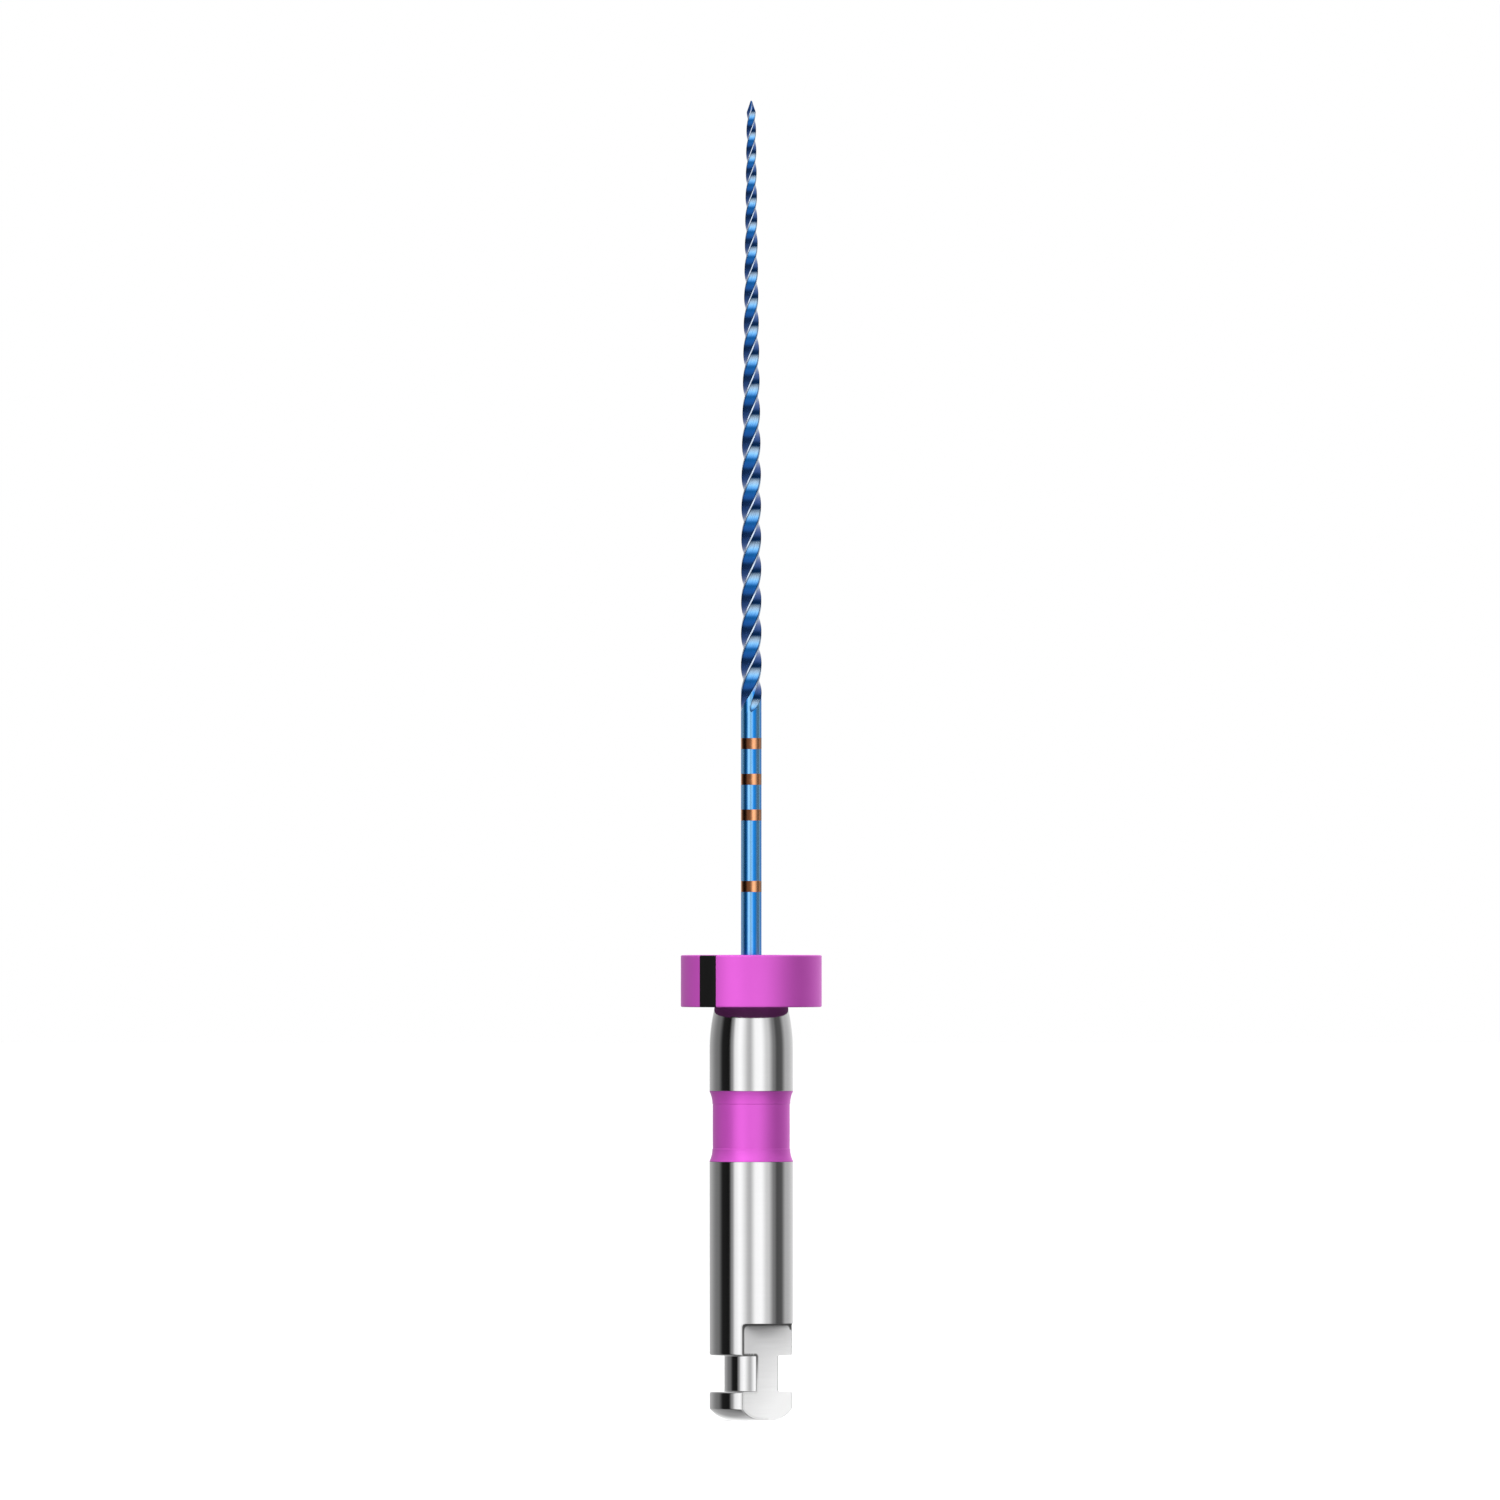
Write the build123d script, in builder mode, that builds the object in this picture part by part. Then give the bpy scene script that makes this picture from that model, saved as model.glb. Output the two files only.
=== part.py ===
"""Rotary endodontic file: a fluted nickel-titanium blade bonded into a right-angle latch handle.

Millimetres. +Z runs from the latch end towards the tip, and the origin is the centre of the latch end.
The drive flat faces -Y. Directions around the axis are in degrees from +X.
"""

from build123d import *

import os
from math import ceil, exp, log, sqrt

# Handle: a dental right-angle latch shank
shank_diameter = 2.35
handle_length = 11.57
end_face_diameter = 1.0
end_edge_rise = 0.33
end_flange_height = 0.81
latch_groove_width = 1.01
latch_groove_diameter = 1.52
drive_flat_length = 2.72
drive_flat_offset = 0.625
drive_flat_fillet = 0.10
nose_length = 1.21
nose_end_diameter = 2.06

# Size band: a coloured ring snapped into its groove, flared at both ends and drawn in a little between
band_position = 7.25
band_width = 1.97
band_groove_diameter = 1.80
band_waist_diameter = 2.18
band_waist_sag = 0.01
band_flare_length = 0.35
band_clearance = 0.01

# Blade: a wire with four ground flutes and a tang
shaft_diameter = 0.58
blade_reach = 25.38
tip_diameter = 0.245
tip_point_diameter = 0.04
tip_cone_length = 0.32
apical_length = 10.5
apical_taper = 0.0285
flute_length = 16.05
flat_to_land = 0.757
grinding_wheel_radius = 8.0
tang_length = 3.50
tang_chamfer = 0.06

# Flute helix, right-handed: the lead grows evenly from the tip, then stays as it is
lead_at_tip = 2.20
lead_at_shaft = 3.54
lead_growth_length = 9.0
flat_distance = 0.53
flat_direction = 225.0
section_turn = 15.0

# Bond: cured adhesive between the tang and its bore
bond_thickness = 0.035
bond_floor = 0.10

# Depth marks: plated bands in shallow grooves, at these distances from the tip
depth_marks = (18, 19, 20, 22)
mark_width = 0.31
mark_depth = 0.02

# Rubber stop, with its direction marker let into the rim
stop_diameter = 3.95
stop_thickness = 1.46
stop_edge_radius = 0.04
stop_clearance = 0.015
marker_width = 0.58
marker_depth = 0.15
marker_direction = 186.5

shank_radius = shank_diameter / 2
shaft_radius = shaft_diameter / 2
tip_z = handle_length + blade_reach
tang_z = handle_length - tang_length


def outline_radius(distance):
    """Radius of the ground wire at a distance from the tip, without the tip cone."""
    if distance <= apical_length:
        return (tip_diameter + apical_taper * distance) / 2
    apical_radius = (tip_diameter + apical_taper * apical_length) / 2
    share = min((distance - apical_length) / (flute_length - apical_length), 1)
    return apical_radius + (shaft_radius - apical_radius) * share


def turns_at(distance):
    """Turns of the helix between the tip and a distance from it."""
    growth = (lead_at_shaft - lead_at_tip) / lead_growth_length
    grown = min(distance, lead_growth_length)
    return log(1 + growth * grown / lead_at_tip) / growth + (distance - grown) / lead_at_shaft


def distance_at(turns):
    """Distance from the tip at which the helix has made this many turns."""
    growth = (lead_at_shaft - lead_at_tip) / lead_growth_length
    grown = min(turns, turns_at(lead_growth_length))
    return lead_at_tip * (exp(growth * grown) - 1) / growth + (turns - grown) * lead_at_shaft


def ring(outer_radius, inner_radius, bottom, height):
    """A plain ring about the Z axis."""
    with BuildPart() as plain_ring:
        with BuildSketch(Plane.XY.offset(bottom)):
            Circle(outer_radius)
            Circle(inner_radius, mode=Mode.SUBTRACT)
        extrude(amount=height)
    return plain_ring.part


# ---- Handle ----

bore_radius = shaft_radius + bond_thickness
bore_floor_z = tang_z - bond_floor
latch_groove_top = end_flange_height + latch_groove_width
band_top = band_position + band_width
nose_start = handle_length - nose_length

with BuildPart() as handle:
    with BuildSketch(Plane.XZ):
        with BuildLine():
            Line((0, handle_length), (0, 0))
            Line((0, 0), (end_face_diameter / 2, 0))
            TangentArc((end_face_diameter / 2, 0), (shank_radius, end_edge_rise), tangent=(1, 0))
            Polyline(
                (shank_radius, end_edge_rise),
                (shank_radius, end_flange_height),
                (latch_groove_diameter / 2, end_flange_height),
                (latch_groove_diameter / 2, latch_groove_top),
                (shank_radius, latch_groove_top),
                (shank_radius, band_position),
                (band_groove_diameter / 2, band_position),
                (band_groove_diameter / 2, band_top),
                (shank_radius, band_top),
                (shank_radius, nose_start),
            )
            TangentArc((shank_radius, nose_start), (nose_end_diameter / 2, handle_length), tangent=(0, 1))
            Line((nose_end_diameter / 2, handle_length), (0, handle_length))
        make_face()
    revolve(axis=Axis.Z)
    with BuildSketch(Plane.YZ):
        with Locations((-drive_flat_offset, drive_flat_length)):
            Rectangle(shank_diameter, 2 * drive_flat_length, align=(Align.MAX, Align.MAX))
        fillet(vertices().group_by(Axis.Y)[-1].sort_by(Axis.X)[-1], radius=drive_flat_fillet)
    extrude(amount=shank_radius, both=True, mode=Mode.SUBTRACT)
    with BuildSketch(Plane.XY.offset(bore_floor_z)):
        Circle(bore_radius)
    extrude(amount=handle_length - bore_floor_z, mode=Mode.SUBTRACT)

# ---- Depth marks ----

marks = {
    distance: ring(shaft_radius, shaft_radius - mark_depth, tip_z - distance - mark_width / 2, mark_width)
    for distance in depth_marks
}

# ---- Blade ----

flat_growth = shaft_radius * (1.03 - flat_to_land)
run_out = sqrt(2 * grinding_wheel_radius * flat_growth)
flutes_z = tip_z - flute_length - run_out
last_turns = turns_at(flute_length + run_out)
sections = ceil(last_turns * 360 / section_turn)

with BuildPart() as flute_core:
    for section in range(-1, sections + 1):
        turns = last_turns * section / sections
        distance = distance_at(turns)
        past_flutes = max(distance - flute_length, 0)
        half_side = flat_to_land * outline_radius(distance) + past_flutes**2 / (2 * grinding_wheel_radius)
        direction = flat_direction + 360 * (turns_at(flat_distance) - turns)
        with BuildSketch(Plane.XY.offset(tip_z - distance)):
            Rectangle(2 * half_side, 2 * half_side, rotation=direction)
    loft(ruled=True)

with BuildPart() as blade:
    with BuildSketch(Plane.XZ):
        with BuildLine():
            Polyline(
                (0, flutes_z),
                (shaft_radius, flutes_z),
                (shaft_radius, tip_z - flute_length),
                (outline_radius(apical_length), tip_z - apical_length),
                (outline_radius(tip_cone_length), tip_z - tip_cone_length),
                (tip_point_diameter / 2, tip_z),
                (0, tip_z),
                close=True,
            )
        make_face()
    revolve(axis=Axis.Z)
    add(flute_core.part, mode=Mode.INTERSECT)
    with BuildSketch(Plane.XY.offset(tang_z)):
        Circle(shaft_radius)
    extrude(amount=flutes_z - tang_z)
    chamfer(edges().group_by(Axis.Z)[0], length=tang_chamfer)
    for mark in marks.values():
        add(mark, mode=Mode.SUBTRACT)

# ---- Bond ----

with BuildPart() as tang_bond:
    with BuildSketch(Plane.XY.offset(bore_floor_z)):
        Circle(bore_radius)
    extrude(amount=handle_length - bore_floor_z)
    add(blade.part, mode=Mode.SUBTRACT)
    for mark in marks.values():
        add(mark, mode=Mode.SUBTRACT)

# ---- Size band ----

band_radius = band_groove_diameter / 2 + band_clearance
waist_radius = band_waist_diameter / 2
waist_bottom = (waist_radius, band_position + band_flare_length)
waist_top = (waist_radius, band_top - band_flare_length)

with BuildPart() as size_band:
    with BuildSketch(Plane.XZ):
        with BuildLine():
            TangentArc(waist_bottom, (shank_radius, band_position), tangent=(0, -1))
            SagittaArc(waist_bottom, waist_top, band_waist_sag)
            TangentArc(waist_top, (shank_radius, band_top), tangent=(0, 1))
            Polyline(
                (shank_radius, band_top),
                (band_radius, band_top),
                (band_radius, band_position),
                (shank_radius, band_position),
            )
        make_face()
    revolve(axis=Axis.Z)

# ---- Stop ----

stop_radius = stop_diameter / 2

with BuildPart() as stop_blank:
    with BuildSketch(Plane.XY.offset(handle_length)):
        Circle(stop_radius)
    extrude(amount=stop_thickness)
    fillet(edges(), radius=stop_edge_radius)
    with BuildSketch(Plane.XY.offset(handle_length)):
        Circle(shaft_radius + stop_clearance)
    extrude(amount=stop_thickness, mode=Mode.SUBTRACT)

with BuildPart() as stop_marker:
    add(stop_blank.part)
    with BuildSketch(Plane.XY.offset(handle_length)):
        with PolarLocations(stop_radius, 1, start_angle=marker_direction):
            Rectangle(2 * marker_depth, marker_width)
    extrude(amount=stop_thickness, mode=Mode.INTERSECT)

with BuildPart() as stop_disc:
    add(stop_blank.part)
    add(stop_marker.part, mode=Mode.SUBTRACT)

# ---- One file per piece ----

pieces = {
    "handle": handle.part,
    "blade": blade.part,
    "tang_bond": tang_bond.part,
    "size_band": size_band.part,
    "stop_disc": stop_disc.part,
    "stop_marker": stop_marker.part,
}
for distance, mark in marks.items():
    pieces[f"depth_mark_{distance}mm"] = mark

os.makedirs("parts", exist_ok=True)
for name, piece in pieces.items():
    piece.label = name
    export_step(piece, f"parts/{name}.step")
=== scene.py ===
"""Looks of a rotary endodontic file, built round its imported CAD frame.

Everything is in the CAD frame: +Z runs from the latch end to the tip, and the drive flat faces -Y.
Sizes are written in millimetres, outlines as (radius, height) points, and meshes are made in metres.
"""

from __future__ import annotations

import logging
import math
from collections.abc import Callable, Sequence
from dataclasses import dataclass, field
from enum import Enum

import bmesh
import bpy
import numpy as np
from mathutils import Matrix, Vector


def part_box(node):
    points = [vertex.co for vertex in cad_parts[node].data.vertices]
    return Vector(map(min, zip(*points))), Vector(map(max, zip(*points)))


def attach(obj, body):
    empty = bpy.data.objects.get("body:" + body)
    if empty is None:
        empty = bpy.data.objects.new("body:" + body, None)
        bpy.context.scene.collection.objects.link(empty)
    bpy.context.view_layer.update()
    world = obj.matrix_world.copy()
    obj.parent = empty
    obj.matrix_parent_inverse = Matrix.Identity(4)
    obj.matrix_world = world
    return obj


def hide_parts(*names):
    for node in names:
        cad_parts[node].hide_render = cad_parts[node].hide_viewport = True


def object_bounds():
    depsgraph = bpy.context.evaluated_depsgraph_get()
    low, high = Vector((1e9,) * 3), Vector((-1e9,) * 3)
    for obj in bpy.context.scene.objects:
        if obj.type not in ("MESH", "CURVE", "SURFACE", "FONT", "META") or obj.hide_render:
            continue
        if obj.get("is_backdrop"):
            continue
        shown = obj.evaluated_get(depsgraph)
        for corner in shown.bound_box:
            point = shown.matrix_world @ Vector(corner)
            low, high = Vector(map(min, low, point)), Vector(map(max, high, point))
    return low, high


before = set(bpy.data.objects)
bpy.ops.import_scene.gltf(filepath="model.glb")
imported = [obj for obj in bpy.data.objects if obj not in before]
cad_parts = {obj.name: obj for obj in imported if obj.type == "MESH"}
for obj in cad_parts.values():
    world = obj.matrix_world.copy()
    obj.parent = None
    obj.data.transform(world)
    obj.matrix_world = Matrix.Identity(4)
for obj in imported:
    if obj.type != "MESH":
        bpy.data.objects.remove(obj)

LOG = logging.getLogger("endodontic_file")
MM = 0.001
TURN = 2 * math.pi
MERGE_DISTANCE = 2e-8
CREASE = math.radians(28)
GRADED_CHORD = 4.0  # a chord longer than this many support distances is divided

Point = tuple[float, float]
Colour = tuple[float, float, float]
WHITE: Colour = (1.0, 1.0, 1.0)


class Body(Enum):
    """The moving bodies of the frame."""

    FILE = "file"
    STOP = "stop"


# ---- Node trees written as expressions ----


def arithmetic(operation: str, flipped: bool = False) -> Callable[[Wire, Operand], Wire]:
    """A method of a wire that adds a Math node with two inputs.

    Args:
        operation: The node's operation.
        flipped: Whether the wire is its second input.

    Returns:
        The method.
    """

    def method(wire: Wire, other: Operand) -> Wire:
        """The node's output."""
        first, second = (other, wire) if flipped else (wire, other)
        return wire.graph.add("ShaderNodeMath", {"operation": operation}, {0: first, 1: second})

    return method


class Wire:
    """One output socket of a node tree; arithmetic on it adds Math nodes."""

    __add__ = arithmetic("ADD")
    __radd__ = arithmetic("ADD", flipped=True)
    __sub__ = arithmetic("SUBTRACT")
    __rsub__ = arithmetic("SUBTRACT", flipped=True)
    __mul__ = arithmetic("MULTIPLY")
    __rmul__ = arithmetic("MULTIPLY", flipped=True)
    __truediv__ = arithmetic("DIVIDE")
    __pow__ = arithmetic("POWER")
    least = arithmetic("MINIMUM")
    most = arithmetic("MAXIMUM")
    above = arithmetic("GREATER_THAN")
    bearing_with = arithmetic("ARCTAN2")

    def __init__(self, graph: Graph, socket: bpy.types.NodeSocket) -> None:
        """Keeps the tree and the socket."""
        self.graph = graph
        self.socket = socket

    def math(self, operation: str, *others: Operand) -> Wire:
        """This value through a Math node, ahead of its other inputs."""
        return self.graph.add("ShaderNodeMath", {"operation": operation}, dict(enumerate((self, *others))))

    def output(self, name: str) -> Wire:
        """Another output of the same node."""
        return Wire(self.graph, self.socket.node.outputs[name])

    def ease(self, low: float, high: float) -> Wire:
        """A smooth step.

        Args:
            low: Where the step is still 0.
            high: Where it has reached 1; it may be below low.

        Returns:
            The step, from 0 to 1.
        """
        step = self.graph.add(
            "ShaderNodeMapRange",
            {"interpolation_type": "SMOOTHSTEP"},
            {"Value": self, "From Min": min(low, high), "From Max": max(low, high)},
        )
        return step if low < high else 1 - step


Operand = Wire | float | Sequence[float] | bpy.types.ID


@dataclass(frozen=True)
class Grain:
    """A noise in object coordinates.

    Attributes:
        across: Its periods in a millimetre across the axis.
        along: Its periods in a millimetre along the axis.
        detail: Its detail.
    """

    across: float
    along: float
    detail: float = 3.0


class Graph:
    """A shader or geometry tree that nodes are added to by kind, settings and inputs."""

    def __init__(self, tree: bpy.types.NodeTree) -> None:
        """Empties the tree and keeps it."""
        self.tree = tree
        self.tree.nodes.clear()

    def add(
        self,
        kind: str,
        settings: dict[str, object] | None = None,
        inputs: dict[int | str, Operand] | None = None,
        output: int | str = 0,
    ) -> Wire:
        """Adds a node.

        Args:
            kind: The node's type.
            settings: Its settings.
            inputs: Values or wires, by socket name or number.
            output: The output to return.

        Returns:
            That output, or the first input of a node without outputs.
        """
        node = self.tree.nodes.new(kind)
        for name, value in (settings or {}).items():
            setattr(node, name, value)
        for name, value in (inputs or {}).items():
            self.feed(node.inputs[name], value)
        return Wire(self, node.outputs[output] if len(node.outputs) else node.inputs[0])

    def feed(self, socket: bpy.types.NodeSocket, value: Operand) -> None:
        """Sets or links one input.

        Args:
            socket: The input.
            value: A number, a vector, a colour, a data block or a wire.
        """
        if isinstance(value, Wire):
            self.tree.links.new(value.socket, socket)
        elif socket.type == "RGBA":
            socket.default_value = (*value, 1)
        else:
            socket.default_value = value

    def mix(self, share: Operand, first: Operand, second: Operand) -> Wire:
        """Two colours, mixed by the share of the second."""
        return self.add("ShaderNodeMix", {"data_type": "RGBA"}, {0: share, 6: first, 7: second}, 2)

    def ramp(self, share: Operand, stops: Sequence[tuple[float, float]]) -> Wire:
        """A grey ramp with eased stops.

        Args:
            share: Where on the ramp, from 0 to 1.
            stops: The positions and levels of its stops.

        Returns:
            The grey.
        """
        grey = self.add("ShaderNodeValToRGB", inputs={"Fac": share})
        ramp = grey.socket.node.color_ramp
        ramp.interpolation = "EASE"
        while len(ramp.elements) < len(stops):
            ramp.elements.new(1)
        for element, (position, level) in zip(ramp.elements, stops):
            element.position = position
            element.color = (level, level, level, 1)
        return grey

    def place(self) -> Wire:
        """Object coordinates."""
        return self.add("ShaderNodeTexCoord", output="Object")

    def axes(self, vector: Wire) -> tuple[Wire, Wire, Wire]:
        """The X, Y and Z of a vector."""
        parts = self.add("ShaderNodeSeparateXYZ", inputs={0: vector})
        return parts, parts.output("Y"), parts.output("Z")

    def attribute(self, name: str) -> Wire:
        """The value of one of the mesh's attributes."""
        return self.add("ShaderNodeAttribute", {"attribute_name": name}, output="Fac")

    def noise(self, where: Wire, scale: Sequence[float], detail: float) -> Wire:
        """A noise round 0, in scaled coordinates."""
        scaled = self.add("ShaderNodeMapping", inputs={"Vector": where, "Scale": tuple(scale)})
        return self.add("ShaderNodeTexNoise", inputs={"Vector": scaled, "Scale": 1.0, "Detail": detail}) - 0.5

    def grain(self, grain: Grain) -> Wire:
        """A noise round 0, in object coordinates."""
        across = grain.across / MM
        return self.noise(self.place(), (across, across, grain.along / MM), grain.detail)

    def wave(self, count: int, peak: float) -> Wire:
        """A wave round the axis of the file.

        Args:
            count: Number of waves in a turn.
            peak: Bearing of one of its peaks, in degrees from +X.

        Returns:
            Its value, from 0 to 1.
        """
        x, y, _ = self.axes(self.place())
        angle = (y.bearing_with(x) - math.radians(peak)) * count
        return angle.math("COSINE") * 0.5 + 0.5

    def seen(self) -> Wire:
        """1 for rays that show the surroundings as they are: straight, mirrored or through glass."""
        path = self.add("ShaderNodeLightPath", output="Is Camera Ray")
        return path.most(path.output("Is Glossy Ray")).most(path.output("Is Transmission Ray"))

    def relief(self, height: Wire, strength: float, depth: float) -> Wire:
        """Normals of a relief, with its depth in millimetres."""
        inputs = {"Strength": strength, "Distance": depth * MM, "Height": height}
        return self.add("ShaderNodeBump", inputs=inputs)

    def principled(self, colour: Wire, roughness: Wire, others: dict[str, Operand]) -> Wire:
        """A Principled shader, with its other inputs by name."""
        inputs = {"Base Color": colour, "Roughness": roughness, **others}
        return self.add("ShaderNodeBsdfPrincipled", inputs=inputs)


# ---- Finishes ----


def toned(colour: Colour, level: float) -> Colour:
    """A colour, lighter or darker."""
    return tuple(min(channel * level, 1) for channel in colour)


@dataclass(frozen=True)
class Finish:
    """A finish of one kind of surface. Its colours are linear."""

    name: str

    def material(self) -> bpy.types.Material:
        """The finish as a material.

        Returns:
            The material, which is made once.
        """
        made = bpy.data.materials.get(self.name)
        if made is None:
            made = bpy.data.materials.new(self.name)
            made.use_nodes = True
            graph = Graph(made.node_tree)
            graph.add("ShaderNodeOutputMaterial", inputs={"Surface": self.surface(graph)})
        return made

    def surface(self, graph: Graph) -> Wire:
        """Makes the shader of the finish, which each kind of finish does in its own way.

        Args:
            graph: The material's tree.

        Returns:
            The shader.
        """
        raise NotImplementedError


@dataclass(frozen=True)
class PolishedSteel(Finish):
    """Turned and polished stainless steel.

    Attributes:
        colour: Its mean colour.
        contrast: How much its marks lighten and darken it.
        roughness: Its mean roughness.
        lathe: The turning marks.
        haze: The haze of handling.
        bump: Strength and depth of the marks' relief.
    """

    colour: Colour = (0.60, 0.60, 0.605)
    contrast: float = 0.06
    roughness: float = 0.075
    lathe: Grain = Grain(1.5, 26.0, 4)
    lathe_tone: float = 0.35
    lathe_roughness: float = 0.05
    haze: Grain = Grain(0.9, 0.35)
    haze_tone: float = 0.5
    haze_roughness: float = 0.03
    bump: tuple[float, float] = (0.12, 0.0012)

    def surface(self, graph: Graph) -> Wire:
        """Fine turning marks round the axis, with a faint haze of handling.

        Args:
            graph: The material's tree.

        Returns:
            The shader.
        """
        lathe, haze = graph.grain(self.lathe), graph.grain(self.haze)
        share = haze * self.haze_tone + lathe * self.lathe_tone + 0.5
        tone = graph.mix(share, toned(self.colour, 1 - self.contrast), toned(self.colour, 1 + self.contrast))
        roughness = self.roughness + lathe * self.lathe_roughness + haze * self.haze_roughness
        return graph.principled(tone, roughness, {"Metallic": 1.0, "Normal": graph.relief(lathe, *self.bump)})


@dataclass(frozen=True)
class MilledSteel(Finish):
    """The satin face that an end mill leaves, with a dark line where it meets the round.

    Attributes:
        colour: Its colour towards the latch end and +X, where the painted light is brightest.
        shaded_colour: Its colour in the other corner, at the shoulder, where the painted shade is darkest.
        painted_light_slope: Change of painted light and shade in a millimetre, along +X and up.
        shade_line_colour: The colour of the painted shade line at its outline.
        shade_line_edge: Millimetres from the outline where the painted shade line is gone, and where it is
            full.
        shade_line_rise: Millimetres above the latch end where the painted shade line starts to show, and
            where it is full.
        shade_line_least: Share of the painted shade line below that.
        passes: The mill marks.
        bump: Strength and depth of the marks' relief.
    """

    colour: Colour = (0.99, 0.99, 0.99)
    shaded_colour: Colour = (0.66, 0.66, 0.665)
    painted_light_slope: tuple[float, float] = (0.45, 0.35)
    shade_line_colour: Colour = (0.09, 0.09, 0.09)
    shade_line_edge: tuple[float, float] = (0.09, 0.036)
    shade_line_rise: tuple[float, float] = (0.9, 1.9)
    shade_line_least: float = 0.15
    passes: Grain = Grain(0.8, 14.0)
    passes_tone: float = 0.3
    grit: Grain = Grain(40, 55, 2)
    grit_tone: float = 0.15
    grit_roughness: float = 0.12
    roughness: float = 0.42
    metallic: float = 0.1
    bump: tuple[float, float] = (0.15, 0.002)

    def surface(self, graph: Graph) -> Wire:
        """Straight mill marks across the flat, a painted light gradient over it, and the painted shade line
        at its outline.

        Args:
            graph: The material's tree.

        Returns:
            The shader.
        """
        passes, grit = graph.grain(self.passes), graph.grain(self.grit)
        x, _, z = graph.axes(graph.place())
        # a dark line painted along the flat's outline as shade, fainter towards the latch end
        start, full = self.shade_line_rise
        upper = z.ease(start * MM, full * MM) * (1 - self.shade_line_least) + self.shade_line_least
        line = graph.attribute("outline_distance").ease(*self.shade_line_edge) * upper
        # painted light and shade: lighter towards +X and the latch end, darker towards the shoulder
        across, along = self.painted_light_slope
        painted_light_slope = x * (across / MM) - z * (along / MM) + 1.0
        share = painted_light_slope + passes * self.passes_tone + grit * self.grit_tone
        tone = graph.mix(line, graph.mix(share, self.shaded_colour, self.colour), self.shade_line_colour)
        others = {"Metallic": self.metallic, "Normal": graph.relief(passes, *self.bump)}
        return graph.principled(tone, self.roughness + grit * self.grit_roughness, others)


@dataclass(frozen=True)
class PaintedLightBand:
    """A band of painted light across a flute, between two soft edges, set by the way the flute faces.

    Attributes:
        colour: The colour.
        rise: Light phases where it starts, and where it is full.
        fall: Light phases where it has gone, and where it is still full.
        share: How much of it shows.
    """

    colour: Colour
    rise: tuple[float, float]
    fall: tuple[float, float]
    share: float = 1.0


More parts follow.
